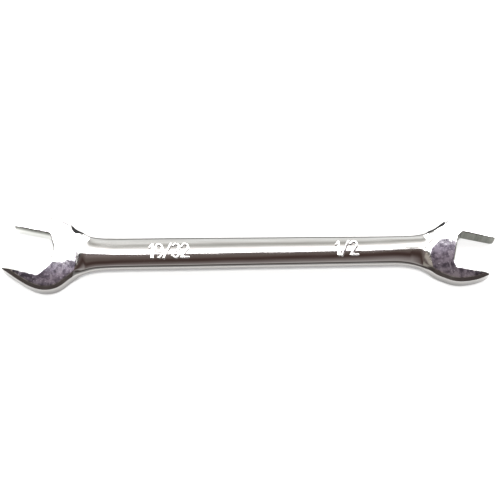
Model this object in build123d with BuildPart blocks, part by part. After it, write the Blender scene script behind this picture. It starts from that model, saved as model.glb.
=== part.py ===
from build123d import *
from dataclasses import dataclass
from math import cos, radians, sin, tan
import os

# A double open-end wrench, forged in one piece. It lies flat along X with the large head at -X.
# The mid plane of the forging is level, and both heads are ground flat on the two sides.
# Far means towards +Y and near towards -Y.

# Nuts that the mouths take, across the flats: 19/32 inch and 1/2 inch
large_nut = 15.08
small_nut = 12.70
mouth_clearance = 0.3

# Both mouths open at this angle to the shank, the large one to the far side, the small one to the near side
mouth_angle = 13.0

# The heads are ground to one thickness, and a sloping shoulder runs from the ground face to the wall
head_thickness = 5.6
shoulder_width = 1.3
shoulder_drop = 0.9

# The inner end of each mouth, from the middle of the wrench and below the line of the shank
large_root_distance = 70.2
small_root_distance = 71.7
large_root_drop = 0.65
small_root_drop = 0.85

# How far the jaws reach past the inner end of the mouth, and how much deeper the throat is
large_jaw_reach = 12.9
small_jaw_reach = 11.4
large_throat_depth = 2.9
small_throat_depth = 1.2
large_throat_radius = 3.6
small_throat_radius = 2.2
throat_slant = 30.0

# The jaws' outer corners are rounded, and their inner corners have a small lead for the nut
jaw_corner_radius = 0.9
jaw_lead = 0.35

# The shank is a flat oval that narrows towards the small head
shank_thickness = 4.4
shank_width_by_large_head = 11.9
shank_width_by_small_head = 10.9
shank_side_radius = 1.5
shank_spans = 8

# The shank flares into each neck over this length, counted from the mouth's inner end
large_flare_reach = 22.2
small_flare_reach = 23.7

# What a cut runs past the metal
overrun = 1.0

mid_height = head_thickness / 2
wall_height = head_thickness - 2 * shoulder_drop

# Outlines of the heads as shares of their mouth: along the mouth, then across it towards the far side
large_far_shares = [
    (-0.387, 0.834), (-0.250, 0.880), (0.000, 0.915), (0.295, 0.880), (0.558, 0.808), (0.762, 0.696)
]
large_near_shares = [
    (-0.684, -0.494), (-0.525, -0.686), (-0.263, -0.815), (0.020, -0.821), (0.400, -0.709)
]
small_far_shares = [
    (-0.623, 0.615), (-0.490, 0.755), (-0.374, 0.864), (-0.195, 0.955), (0.039, 0.975), (0.335, 0.900),
    (0.623, 0.750)
]
small_near_shares = [
    (-0.292, -0.876), (-0.086, -0.909), (0.187, -0.891), (0.436, -0.809), (0.693, -0.677)
]

# Where the backs of the jaws end, across the mouth, and where the ground face stops on the neck
large_tip_shares = (0.590, -0.519)
small_tip_shares = (0.545, -0.514)
large_neck_share = (-0.800, 0.197)
small_neck_share = (-0.735, -0.360)

# The flares: how far along their reach, then the near and the far half width as shares of the mouth
large_flare_shares = [
    (0.387, 0.678, 0.685),
    (0.464, 0.588, 0.598),
    (0.555, 0.510, 0.518),
    (0.669, 0.445, 0.448),
    (0.782, 0.408, 0.408),
    (0.894, 0.392, 0.392),
]
small_flare_shares = [
    (0.261, 0.862, 0.665),
    (0.320, 0.810, 0.603),
    (0.393, 0.727, 0.541),
    (0.478, 0.622, 0.486),
    (0.585, 0.520, 0.444),
    (0.713, 0.455, 0.423),
    (0.839, 0.425, 0.420),
]


@dataclass
class Head:
    """One open end. Its side is -1 at the large head and +1 at the small one."""

    side: int
    mouth: float
    root_distance: float
    root_drop: float
    jaw_reach: float
    throat_depth: float
    throat_radius: float
    far_shares: list
    near_shares: list
    tip_shares: tuple
    neck_share: tuple
    flare_reach: float
    flare_shares: list

    def spot(self, along, across):
        """A point given along the mouth from its inner end, and across it towards the far side."""
        turn = radians(mouth_angle)
        x = self.side * (self.root_distance + along * cos(turn)) + across * sin(turn)
        y = across * cos(turn) - self.side * along * sin(turn) - self.root_drop
        return (x, y)

    def share_spot(self, share):
        """The same point, given as shares of the mouth."""
        return self.spot(share[0] * self.mouth, share[1] * self.mouth)

    def neck_x(self, share):
        """The place along the bar at a share of the flare's reach."""
        return self.side * (self.root_distance - share * self.flare_reach)


large_head = Head(
    side=-1,
    mouth=large_nut + mouth_clearance,
    root_distance=large_root_distance,
    root_drop=large_root_drop,
    jaw_reach=large_jaw_reach,
    throat_depth=large_throat_depth,
    throat_radius=large_throat_radius,
    far_shares=large_far_shares,
    near_shares=large_near_shares,
    tip_shares=large_tip_shares,
    neck_share=large_neck_share,
    flare_reach=large_flare_reach,
    flare_shares=large_flare_shares,
)
small_head = Head(
    side=1,
    mouth=small_nut + mouth_clearance,
    root_distance=small_root_distance,
    root_drop=small_root_drop,
    jaw_reach=small_jaw_reach,
    throat_depth=small_throat_depth,
    throat_radius=small_throat_radius,
    far_shares=small_far_shares,
    near_shares=small_near_shares,
    tip_shares=small_tip_shares,
    neck_share=small_neck_share,
    flare_reach=small_flare_reach,
    flare_shares=small_flare_shares,
)


def drawn_in(ring, inset):
    """The points of a ring that runs anticlockwise, each moved inwards, square to its two neighbours' line."""
    moved = []
    for number, (x, y) in enumerate(ring):
        before = ring[number - 1]
        after = ring[(number + 1) % len(ring)]
        along = Vector(after[0] - before[0], after[1] - before[1]).normalized()
        moved.append((x - along.Y * inset, y + along.X * inset))
    return moved


def head_outline(head, level, inset):
    """The plan of a head with its mouth still closed: two curved backs, the jaws' ends and the neck."""
    far_back = [head.share_spot(share) for share in head.far_shares]
    far_back.append(head.spot(head.jaw_reach, head.tip_shares[0] * head.mouth))
    near_back = [head.share_spot(share) for share in head.near_shares]
    near_back.append(head.spot(head.jaw_reach, head.tip_shares[1] * head.mouth))
    ring = far_back + near_back[::-1] + [head.share_spot(head.neck_share)]

    # The ring runs anticlockwise at the large head and clockwise at the small one
    ring = drawn_in(ring, -head.side * inset)
    far_back, near_back, neck = ring[: len(far_back)], ring[len(far_back) : -1], ring[-1]

    with BuildSketch(Plane.XY.offset(level)) as outline:
        with BuildLine():
            Spline(*far_back)
            Line(far_back[-1], near_back[0])
            Spline(*near_back)
            ThreePointArc(near_back[-1], neck, far_back[0])
        make_face()
        jaw_ends = outline.vertices().sort_by(Axis.X)
        jaw_ends = jaw_ends[:2] if head.side < 0 else jaw_ends[-2:]
        fillet(jaw_ends, radius=jaw_corner_radius)
    return outline.sketch


def mouth_outline(head):
    """The plan of a mouth: two flats, a lead at the jaws' ends, and a throat of two slants and a floor."""
    half = head.mouth / 2
    floor_half = half - head.throat_depth / tan(radians(throat_slant))
    lead_start = head.jaw_reach - jaw_lead
    lead_end = head.jaw_reach + overrun
    wide = half + jaw_lead + overrun
    far_side = [(-head.throat_depth, floor_half), (0, half), (lead_start, half), (lead_end, wide)]
    near_side = [(along, -across) for along, across in reversed(far_side)]
    with BuildSketch(Plane.XY.offset(mid_height)) as outline:
        with BuildLine():
            Polyline(*[head.spot(along, across) for along, across in far_side + near_side], close=True)
        make_face()
        throat_floor = [head.spot(-head.throat_depth, across) for across in (floor_half, -floor_half)]
        corners = outline.vertices().sort_by_distance(Vector(*throat_floor[0], mid_height))[:1]
        corners += outline.vertices().sort_by_distance(Vector(*throat_floor[1], mid_height))[:1]
        fillet(corners, radius=head.throat_radius)
    return outline.sketch


def oval(x, near, far):
    """A cross-section of the bar at x: two crowned faces and two round sides, all tangent."""
    half = (near + far) / 2
    crown = shank_thickness / 2
    run = half - shank_side_radius
    crown_radius = (run**2 + crown**2 - shank_side_radius**2) / (2 * (crown - shank_side_radius))
    lean = run / (crown_radius - shank_side_radius)
    rise = (crown_radius - crown) / (crown_radius - shank_side_radius)
    edge = (run + shank_side_radius * lean, shank_side_radius * rise)
    middle = Plane(origin=(x, (far - near) / 2, mid_height), x_dir=(0, 1, 0), z_dir=(1, 0, 0))
    with BuildSketch(middle) as section:
        with BuildLine():
            ThreePointArc((-edge[0], edge[1]), (0, crown), edge)
            ThreePointArc(edge, (half, 0), (edge[0], -edge[1]))
            ThreePointArc((edge[0], -edge[1]), (0, -crown), (-edge[0], -edge[1]))
            ThreePointArc((-edge[0], -edge[1]), (-half, 0), (-edge[0], edge[1]))
        make_face()
    return section.sketch


def flare_sections(head):
    """Sections of the neck, from inside the head to where the straight shank begins."""
    sections = []
    for reach_share, near, far in head.flare_shares:
        sections.append(oval(head.neck_x(reach_share), near * head.mouth, far * head.mouth))
    return sections


def shank_sections():
    """Sections of the straight shank, which narrows evenly towards the small head."""
    start = large_head.neck_x(1)
    end = small_head.neck_x(1)
    sections = []
    for step in range(shank_spans + 1):
        share = step / shank_spans
        x = start + (end - start) * share
        width = shank_width_by_large_head + (shank_width_by_small_head - shank_width_by_large_head) * share
        sections.append(oval(x, width / 2, width / 2))
    return sections


with BuildPart() as wrench:
    # The bar: flared neck, shank and flared neck in one smooth skin
    loft(sections=flare_sections(large_head) + shank_sections() + flare_sections(small_head)[::-1])

    for head in (large_head, small_head):
        # The closed head: an upright wall, and on each side a shoulder that slopes up to the ground face
        extrude(head_outline(head, mid_height, 0), amount=wall_height / 2, both=True)
        wall_top = head_outline(head, mid_height + wall_height / 2, 0)
        ground_face = head_outline(head, head_thickness, shoulder_width)
        shoulder = loft(sections=[wall_top, ground_face], ruled=True)
        mirror(shoulder, about=Plane.XY.offset(mid_height))

        # The mouth, cut right through
        extrude(mouth_outline(head), amount=head_thickness / 2 + overrun, both=True, mode=Mode.SUBTRACT)

wrench.part.label = "wrench"

os.makedirs("parts", exist_ok=True)
export_step(wrench.part, "parts/wrench.step")
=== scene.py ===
# %% [markdown]
# A double open-end wrench, forged in one piece, ground flat on both heads and chrome plated all over.
# Chrome has no colour of its own. It shows the room, so two things decide how true the picture is: a
# surface whose slopes are right everywhere, and a studio whose light and dark stand where they stood for
# the photo. The packed model comes first. It fixes where the wrench is and how large, and nothing here
# moves it.

# %% The frame
from dataclasses import dataclass

import bmesh
import bpy
import numpy as np
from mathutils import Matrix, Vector


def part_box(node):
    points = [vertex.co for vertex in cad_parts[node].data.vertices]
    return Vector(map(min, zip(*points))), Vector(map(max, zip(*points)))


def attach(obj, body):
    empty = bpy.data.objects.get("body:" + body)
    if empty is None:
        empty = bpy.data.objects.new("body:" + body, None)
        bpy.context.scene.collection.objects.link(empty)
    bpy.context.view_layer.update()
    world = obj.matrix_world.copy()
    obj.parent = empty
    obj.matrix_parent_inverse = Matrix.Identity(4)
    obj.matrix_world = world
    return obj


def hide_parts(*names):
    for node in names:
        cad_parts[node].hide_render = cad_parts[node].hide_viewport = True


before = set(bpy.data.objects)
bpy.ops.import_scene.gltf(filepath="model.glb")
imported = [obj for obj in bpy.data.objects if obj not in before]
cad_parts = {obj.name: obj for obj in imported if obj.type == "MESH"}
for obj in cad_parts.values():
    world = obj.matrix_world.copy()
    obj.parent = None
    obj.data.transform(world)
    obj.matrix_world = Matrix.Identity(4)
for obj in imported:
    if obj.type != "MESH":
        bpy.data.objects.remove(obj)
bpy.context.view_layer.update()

# %% [markdown]
# The sizes are the forging's own, in millimetres, and `mm` turns them into Blender's metres at the end.
# Sizes that the two heads share come first. Far means towards +Y, near towards -Y, and heights are counted
# from the middle plane, because the forging is the same above and below it.

# %% Sizes that both heads share
mm = 0.001
low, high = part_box("wrench")
half_thickness = (high[2] - low[2]) / 2 / mm
middle_height = (high[2] + low[2]) / 2 / mm

mouth_angle = np.radians(13.0)
shoulder_width = 1.3
shoulder_drop = 0.9
wall_half_height = half_thickness - shoulder_drop
jaw_corner_radius = 0.9
jaw_lead = 0.35
throat_slant = np.radians(30.0)
print("half thickness:", round(half_thickness, 3), "mm, middle plane at", round(middle_height, 3), "mm")

# %% [markdown]
# Each head is laid out along its own mouth, which is turned to the shank. A place is given as so far along
# the mouth from its inner end and so far across it. The curved backs of the jaws are a few points, written
# as shares of the mouth's width, that a smooth curve will run through. Both heads are fillings of one form,
# so every later step is written once and used twice.


# %% What a head is made of
@dataclass
class Head:
    """One open end. side is -1 for the large head, at -X, and +1 for the small one.

    back_shares, tip_shares and flare_shares give the jaws' backs, their tips and the neck's two sides as
    shares of the mouth's width. face_end is the line in plan, from near to far, where the ground face ends
    on the neck. The four sizes after it shape the neck's far side. square_from and steep_from are how far
    from the wrench's middle it turns square, and its shoulder grows as steep as the head's. far_slope is
    the shoulder's slope before that. far_wall is the wall's height there, then where its growth to the
    head's wall starts and ends.
    """

    side: int
    mouth: float
    root_distance: float
    root_drop: float
    jaw_reach: float
    throat_depth: float
    throat_radius: float
    back_shares: dict
    tip_shares: dict
    face_end: list
    square_from: tuple
    steep_from: tuple
    far_slope: float
    far_wall: tuple
    flare_reach: float
    flare_shares: list

    def spot(self, along, across):
        """Place in plan: the mouth's two directions, turned by the mouth's angle and moved to its root."""
        x = self.side * (self.root_distance + along * np.cos(mouth_angle)) + across * np.sin(mouth_angle)
        y = across * np.cos(mouth_angle) - self.side * along * np.sin(mouth_angle) - self.root_drop
        return np.stack([x, y], axis=-1)

    def local(self, place):
        """The way back: how far along the mouth and how far across it a place lies."""
        x = self.side * place[..., 0] - self.root_distance
        y = place[..., 1] + self.root_drop
        along = x * np.cos(mouth_angle) - self.side * y * np.sin(mouth_angle)
        across = self.side * x * np.sin(mouth_angle) + y * np.cos(mouth_angle)
        return along, across


print("a head is given by", len(Head.__dataclass_fields__), "sizes and lines")

# %% [markdown]
# The large head takes the larger nut, and its mouth is turned to the far side. Its jaws are a little
# shorter for their mouth than the small head's, and its throat is cut deeper.

# %% The large head
large_head = Head(
    side=-1,
    mouth=15.38,
    root_distance=70.2,
    root_drop=0.65,
    jaw_reach=12.9,
    throat_depth=2.9,
    throat_radius=3.6,
    back_shares={
        "far": [
            (-0.387, 0.834), (-0.250, 0.880), (0.000, 0.915), (0.295, 0.880), (0.558, 0.808), (0.762, 0.696),
        ],
        "near": [(-0.684, -0.494), (-0.525, -0.686), (-0.263, -0.815), (0.020, -0.821), (0.400, -0.709)],
    },
    tip_shares={"far": 0.590, "near": -0.519},
    face_end=[
        (-60.6, -12.0), (-59.9, -9.0), (-59.2, -6.0), (-59.0, -2.0), (-58.9, 2.0), (-59.3, 5.0), (-60.2, 7.6),
        (-61.8, 11.0),
    ],
    square_from=(54.6, 57.4),
    steep_from=(60.5, 62.8),
    far_slope=0.61,
    far_wall=(1.50, 59.0, 62.0),
    flare_reach=22.2,
    flare_shares=[
        (0.464, 0.588, 0.598), (0.555, 0.510, 0.518), (0.669, 0.445, 0.448), (0.782, 0.408, 0.408),
        (0.894, 0.392, 0.392),
    ],
)
print("large mouth:", large_head.mouth, "mm wide,", large_head.jaw_reach, "mm long")

# %% [markdown]
# The small head's mouth is turned to the near side, so its neck swings out further there than on the far
# side.

# %% The small head
small_head = Head(
    side=1,
    mouth=13.00,
    root_distance=71.7,
    root_drop=0.85,
    jaw_reach=11.4,
    throat_depth=1.2,
    throat_radius=2.2,
    back_shares={
        "far": [
            (-0.623, 0.615), (-0.490, 0.755), (-0.374, 0.864), (-0.195, 0.955), (0.039, 0.975),
            (0.335, 0.900), (0.623, 0.750),
        ],
        "near": [(-0.292, -0.876), (-0.086, -0.909), (0.187, -0.891), (0.436, -0.809), (0.693, -0.677)],
    },
    tip_shares={"far": 0.545, "near": -0.514},
    face_end=[
        (63.4, -12.0), (62.3, -9.0), (61.8, -6.6), (61.6, -4.2), (61.65, -2.0), (61.9, -0.6), (62.9, 0.8),
        (64.4, 2.4), (65.5, 4.0), (66.2, 6.5), (66.5, 10.0),
    ],
    square_from=(59.8, 61.8),
    steep_from=(66.0, 69.0),
    far_slope=0.60,
    far_wall=(1.30, 63.0, 66.5),
    flare_reach=23.7,
    flare_shares=[
        (0.320, 0.810, 0.603), (0.393, 0.727, 0.541), (0.478, 0.622, 0.486), (0.585, 0.520, 0.444),
        (0.713, 0.455, 0.423), (0.839, 0.425, 0.420),
    ],
)
heads = (large_head, small_head)
ways = {"far": 1, "near": -1}
print("small mouth:", small_head.mouth, "mm wide,", small_head.jaw_reach, "mm long")

# %% [markdown]
# A draughtsman's spline is the right curve for a forged outline, because the die was cut to one. It is
# worked out here as whole arrays: one small set of equations gives the bend at each point, and cubics fill
# the rest.


# %% A smooth curve through points
def smooth_curve(points, count):
    """A cubic spline through the points.

    Between two points each coordinate is a cubic in the chord length. At every inner point the two cubics
    agree in place, slope and bend, and in the first and last span the bend stays as it is.
    """
    points = np.asarray(points, float)
    chord = np.hypot(*np.diff(points, axis=0).T)
    knots = np.concatenate([[0.0], np.cumsum(chord)])
    size = len(points)
    inner = np.arange(1, size - 1)
    matrix = np.zeros((size, size))
    matrix[inner, inner - 1] = chord[:-1]
    matrix[inner, inner] = 2 * (chord[:-1] + chord[1:])
    matrix[inner, inner + 1] = chord[1:]
    matrix[0, :2] = 1, -1
    matrix[-1, -2:] = -1, 1
    right = np.zeros((size, 2))
    right[inner] = 6 * np.diff(np.diff(points, axis=0) / chord[:, None], axis=0)
    bend = np.linalg.solve(matrix, right)

    s = np.linspace(0, knots[-1], count)
    span = np.clip(np.searchsorted(knots, s, side="right") - 1, 0, size - 2)
    width = chord[span][:, None]
    left, past = (knots[span + 1] - s)[:, None], (s - knots[span])[:, None]
    cubic = (bend[span] * left**3 + bend[span + 1] * past**3) / (6 * width)
    line = (points[span] / width - bend[span] * width / 6) * left
    return cubic + line + (points[span + 1] / width - bend[span + 1] * width / 6) * past


def length_along(curve):
    """Distance travelled along a curve at each of its points."""
    return np.concatenate([[0.0], np.cumsum(np.hypot(*np.diff(curve, axis=0).T))])


def at_length(curve, lengths):
    """The points of a curve at these distances along it."""
    travelled = length_along(curve)
    return np.stack([np.interp(lengths, travelled, curve[:, i]) for i in (0, 1)], axis=-1)


print("a test curve's length:", round(length_along(smooth_curve([(0, 0), (1, 1), (2, 0)], 50))[-1], 3))

# %% [markdown]
# The whole far side of the wrench is one such curve, from the large head's far jaw along the flared neck,
# the shank and the other neck to the small head's far jaw. The near side is another. Running one curve
# through head and neck is what a blended forging does, and it leaves no kink for the chrome to show up.

# %% The two long sides
shank_half_widths = (5.95, 5.45)
shank_points = 6
side_curve_points = 6000


def side_points(way):
    """The points of one long side, from the large head's tip to the small head's tip."""
    sign = ways[way]
    column = 2 if way == "far" else 1
    halves = []
    for head in heads:
        backs = np.array(head.back_shares[way][::-1]) * head.mouth
        tip = np.array([[head.jaw_reach, head.tip_shares[way] * head.mouth]])
        jaw = head.spot(*np.concatenate([tip, backs]).T)
        flare = np.array(head.flare_shares)
        flare_x = head.side * (head.root_distance - flare[:, 0] * head.flare_reach)
        neck = np.stack([flare_x, sign * flare[:, column] * head.mouth], axis=-1)
        halves.append(np.concatenate([jaw, neck]))
    ends = [head.side * (head.root_distance - head.flare_reach) for head in heads]
    shank_x = np.linspace(*ends, shank_points)
    shank = np.stack([shank_x, sign * np.linspace(*shank_half_widths, shank_points)], axis=-1)
    return np.concatenate([halves[0], shank, halves[1][::-1]])


long_sides = {way: smooth_curve(side_points(way), side_curve_points) for way in ways}
for way, curve in long_sides.items():
    print(way, "side:", round(length_along(curve)[-1], 1), "mm long, highest y", round(curve[:, 1].max(), 2))

# %% [markdown]
# Each jaw ends in a small round nose. Its arc touches the back of the jaw and the line across the jaws'
# ends, and it stops where the mouth begins. A row of trial centres is measured against the back all at
# once, and the one at the right distance is kept.

# %% The jaws' noses
trial_centres = 1500
back_points_tried = 900
nose_points = 60


def mouth_half(head, along):
    """Half the mouth's width: even along the flats, then opening at 45 degrees over the short lead."""
    return head.mouth / 2 + np.maximum(0, along - head.jaw_reach + jaw_lead)


def nose(head, way):
    """The jaw's end from the mouth to the back, as places, and how much of the back it takes away.

    Its centre is one radius back from the jaws' ends, and one radius away from the nearest point of the back.
    """
    sign = ways[way]
    back = long_sides[way] if head.side < 0 else long_sides[way][::-1]
    along, across = head.local(back[:back_points_tried])
    trial = np.linspace(0, abs(head.tip_shares[way]) * head.mouth, trial_centres) * sign
    centre_along = head.jaw_reach - jaw_corner_radius
    gap = np.hypot(along - centre_along, across - trial[:, None])
    pick = np.argmin(np.abs(gap.min(axis=1) - jaw_corner_radius))
    touch = np.argmin(gap[pick])
    turn = np.arctan2(across[touch] - trial[pick], along[touch] - centre_along)
    angle = np.linspace(0, turn, nose_points)
    arc_along = centre_along + jaw_corner_radius * np.cos(angle)
    arc_across = trial[pick] + jaw_corner_radius * np.sin(angle)
    along = np.concatenate([[head.jaw_reach], arc_along])
    across = np.concatenate([[0.0], arc_across])

    # The nose starts where this line comes out of the mouth
    clear = sign * across - mouth_half(head, along)
    first = np.argmax(clear > 0)
    share = clear[first] / (clear[first] - clear[first - 1])
    start = [(1 - share) * v[first] + share * v[first - 1] for v in (along, across)]
    along = np.concatenate([[start[0]], along[first:]])
    across = np.concatenate([[start[1]], across[first:]])
    return head.spot(along, across), touch


outlines = {}
for way in ways:
    large_nose, cut = nose(large_head, way)
    small_nose, small_cut = nose(small_head, way)
    middle = long_sides[way][cut + 1 : -small_cut - 1]
    outlines[way] = np.concatenate([large_nose, middle, small_nose[::-1]])
    print(way, "outline runs from", np.round(outlines[way][0], 2), "to", np.round(outlines[way][-1], 2))

# %% [markdown]
# The mouth's own edge is straight lines with rounded corners: lead, flat, the slant where a nut's corner
# goes, and the throat's floor. The floor's corners are large because a sharp one would start a crack.

# %% The mouths' edges
corner_points = 16
lead_corner_radius = 0.1
flat_corner_radius = 0.3


def rounded(corners, radii):
    """Lines whose corners are arcs: an arc starts and ends at radius * tan(half the turn) from its corner."""
    corners = np.asarray(corners, float)
    parts = [corners[:1]]
    for before, corner, after, radius in zip(corners[:-2], corners[1:-1], corners[2:], radii):
        into = (corner - before) / np.hypot(*(corner - before))
        out = (after - corner) / np.hypot(*(after - corner))
        turn = np.arctan2(into[0] * out[1] - into[1] * out[0], into @ out)
        reach = radius * np.tan(abs(turn) / 2)
        normal = np.sign(turn) * np.array([-into[1], into[0]])
        angle = np.linspace(0, abs(turn), corner_points)[:, None]
        start = corner - into * reach
        parts.append(start + radius * (np.sin(angle) * into + (1 - np.cos(angle)) * normal))
    return np.concatenate(parts + [corners[-1:]])


def mouth_edge(head, way):
    """Half of a mouth's edge, from the jaw's nose to the middle of the throat, and where its flat ends."""
    sign = ways[way]
    half = head.mouth / 2
    floor_half = half - head.throat_depth / np.tan(throat_slant)
    along, across = head.local(outlines[way][0 if head.side < 0 else -1])
    corners = [(along, across), (head.jaw_reach - jaw_lead, sign * half), (0, sign * half)]
    corners += [(-head.throat_depth, sign * floor_half), (-head.throat_depth, 0)]
    edge = rounded(corners, [lead_corner_radius, flat_corner_radius, head.throat_radius])
    lead_length = np.hypot(*(np.array(corners[0]) - corners[1]))
    return head.spot(*edge.T), lead_length + head.jaw_reach - jaw_lead


mouth_edges = {(head.side, way): mouth_edge(head, way) for head in heads for way in ways}
print("mouth edges:", {key: round(length_along(edge[0])[-1], 2) for key, edge in mouth_edges.items()})

# %% [markdown]
# Now the heights. On the real wrench the hammer, the wheel and the buff leave one surface whose parts blend
# into each other, so the height is written as one function of the place in plan. It is put together from
# simpler heights, and these helpers join them without a crease.

# %% Helpers for heights
places_at_once = 6000


def smooth_min(a, b, blend):
    """The smaller of two heights, rounded where they are closer together than the blend."""
    return np.minimum(a, b) - np.maximum(blend - np.abs(a - b), 0) ** 2 / (4 * blend)


def eased(value, start, end):
    """A share that goes from 0 at the start to 1 at the end with no kink: 3 t^2 - 2 t^3."""
    t = np.clip((value - start) / (end - start), 0, 1)
    return t * t * (3 - 2 * t)


def distance_to(curve, place):
    """Distance from places to a line of points: the smallest distance to any of its segments.

    On a segment the nearest point is at the share apart . step / step . step, held between 0 and 1. The 1e-12
    keeps a segment of no length from dividing by 0.
    """
    start, step = curve[:-1], np.diff(curve, axis=0)
    out = []
    for block in np.array_split(place.reshape(-1, 2), max(1, place.size // places_at_once)):
        apart = block[:, None] - start
        share = np.clip((apart * step).sum(-1) / np.maximum((step * step).sum(-1), 1e-12), 0, 1)
        out.append(np.hypot(*np.moveaxis(apart - share[..., None] * step, -1, 0)).min(axis=1))
    return np.concatenate(out).reshape(place.shape[:-1])


print("two equal heights of 1 mm, blended over 0.2 mm, give", smooth_min(1.0, 1.0, 0.2), "mm")

# %% [markdown]
# A head's profile is the same all round it, so its height depends on two distances only: how far inside the
# outline a place lies, and how far past the line where the ground face ends on the neck.

# %% Two distances on a head
outline_stride = 4
face_end_points = 400


def depth_inside(head, place):
    """How far inside the outline: the least of the distances to both long sides and to the jaws' ends."""
    depth = head.jaw_reach - head.local(place)[0]
    for way in ways:
        curve = outlines[way][outlines[way][:, 0] * head.side > head.root_distance - head.flare_reach]
        depth = np.minimum(depth, distance_to(curve[::outline_stride], place))
    return depth


def past_face_end(head, place):
    """How far a place lies past the end of the ground face, towards the mouth."""
    line = smooth_curve(head.face_end, face_end_points)
    return head.side * (place[..., 0] - np.interp(place[..., 1], line[:, 1], line[:, 0]))


for head in heads:
    behind_throat = head.spot(-head.throat_depth, 0.0)[None]
    print("head", head.side, "has its throat", np.round(depth_inside(head, behind_throat), 2), "mm inside")

# %% [markdown]
# The shank is a flat oval, a shape that is kind to the hand. Each face is part of a large circle and each
# side part of a small one, and where they meet they have the same slope, so no line shows in the chrome
# there.

# %% The shank's height
shank_half_thickness = 2.2
shank_side_radius = 1.5
shank_crown_radius = 16.0
shank_roll = {-60.0: 0.0, -46.0: -0.068, 0.0: -0.060, 41.0: -0.047, 58.0: 0.0}


def bar_height(place):
    """The flat oval: a crowned face that turns into a round side, tangent to each other.

    The crest runs along y = 0, and each side's crown reaches from there to its own outline. The polisher
    leaned on the far edge, so the crown is a little lower there than on the near side.
    """
    far, near = [np.interp(place[..., 0], long_sides[way][:, 0], long_sides[way][:, 1]) for way in ways]
    half = np.where(place[..., 1] < 0, -near, far)
    across = np.abs(place[..., 1])
    run = half - shank_side_radius
    flank = np.sqrt(np.maximum((shank_crown_radius - shank_side_radius) ** 2 - run**2, 0))
    crest = np.minimum(shank_crown_radius - flank, shank_half_thickness)
    crown_radius = (run**2 + crest**2 - shank_side_radius**2) / (2 * (crest - shank_side_radius))
    turning = run + shank_side_radius * run / (crown_radius - shank_side_radius)
    crown = np.sqrt(np.maximum(crown_radius**2 - across**2, 0)) - crown_radius + crest
    side = np.sqrt(np.maximum(shank_side_radius**2 - (across - run) ** 2, 0))
    roll = np.interp(place[..., 0], list(shank_roll), list(shank_roll.values()))
    return np.where(across < turning, crown, side) * (1 + roll * place[..., 1] / shank_half_thickness)


across_shank = np.stack([np.zeros(5), np.linspace(-5.0, 5.0, 5)], axis=-1)
print("across the shank's middle:", np.round(bar_height(across_shank), 2), "mm")

# %% [markdown]
# Along the neck the oval turns into the head's profile. The near side keeps its round crown and lifts
# slowly. The far side turns square early and has a wall and a shoulder, like the head. That corner is what
# draws the black lines at both necks in the photo: the shoulder looks at the dark part of the room.

# %% The necks' heights
neck_climb = 0.30
climb_blend = 0.35
spare_height = 0.1
near_blend = 0.05
far_blend = 0.06
far_fall = 0.02
far_head_slope = 0.90


def neck_height(head, place):
    """The rising neck before grinding.

    The crest starts to climb gently and reaches the ground level at the end of the face. The near side is a
    mixture of the oval and of the head's profile, wall + slope * depth, by how far the crest has climbed. The
    far side turns from the oval into its own wall + slope * depth, under a nearly level top that climbs.
    """
    climb = half_thickness - shank_half_thickness
    level = np.zeros(place.shape[:-1])
    rise = -smooth_min(-climb - neck_climb * past_face_end(head, place), level, climb_blend)
    share = np.minimum(rise / (climb + spare_height), 1)
    ceiling = half_thickness + spare_height
    depth = depth_inside(head, place)
    near_shoulder = wall_half_height + shoulder_drop / shoulder_width * depth
    bar = bar_height(place)
    near_side = bar * (1 - share) + smooth_min(near_shoulder, ceiling, near_blend) * share

    distance = head.side * place[..., 0]
    top = np.minimum(shank_half_thickness + rise - far_fall * np.abs(place[..., 1]) * (1 - share), ceiling)
    slope = head.far_slope + (far_head_slope - head.far_slope) * eased(distance, *head.steep_from)
    bar_wall, start, end = head.far_wall
    wall_top = bar_wall + (wall_half_height - bar_wall) * eased(distance, start, end)
    far_shoulder = wall_top + slope * depth
    square = eased(distance, *head.square_from)
    far_side = bar * (1 - square) + smooth_min(far_shoulder, top, far_blend) * square
    return np.where(place[..., 1] < 0, near_side, far_side)


neck_places_tried = np.array([[-56.0, -3.0], [-56.0, 3.0]])
print("the large head's neck, near and far:", np.round(neck_height(large_head, neck_places_tried), 2), "mm")

# %% [markdown]
# The forging as it comes from the hammer is the oval, with each neck and head in its place. numpy gives all
# the places near a head to that head in one go.


# %% The forging before the wheel
def forged_height(place):
    """Height above the middle plane before grinding: the oval, and near each head its neck and shoulder."""
    height = bar_height(place)
    for head in heads:
        near_head = place[..., 0] * head.side > head.root_distance - head.flare_reach
        height[near_head] = neck_height(head, place[near_head])
    return height


test_places = np.array([[-66.0, 0.0], [-58.9, 0.0], [-57.0, 0.0], [0.0, 0.0], [66.0, 0.0]])
print("forged heights at", test_places[:, 0], "are", np.round(forged_height(test_places), 2))

# %% [markdown]
# Then the grinding wheel takes both heads down to one level, and where its plane leaves the rising neck it
# leaves a crisp edge. A slightly rounded minimum of the forging and a level does the same.

# %% The ground height
face_rounding = 0.06


def ground_height(forged):
    """The forging after the wheel has taken it down to one level."""
    return smooth_min(forged, half_thickness, face_rounding)


print("ground heights there are", np.round(ground_height(forged_height(test_places)), 2))

# %% [markdown]
# The mesh will need points at chosen distances along an outline, and at each the direction into the metal.
# That direction is the curve's own, given a quarter turn.

# %% Points and normals along a curve
even_points = 5000


def sampled(curve, lengths):
    """Points of a curve at these distances along it, and unit normals, a quarter turn anticlockwise."""
    even = at_length(curve, np.linspace(0, length_along(curve)[-1], even_points))
    step = np.gradient(even, axis=0)
    travelled = length_along(even)
    along = np.stack([np.interp(lengths, travelled, step[:, i]) for i in (0, 1)], axis=-1)
    along /= np.hypot(*along.T)[:, None]
    return at_length(curve, lengths), np.stack([-along[:, 1], along[:, 0]], axis=-1)


print("the normal of a level line:", sampled(np.array([[0.0, 0.0], [1.0, 0.0]]), np.array([0.5]))[1][0])

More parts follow.
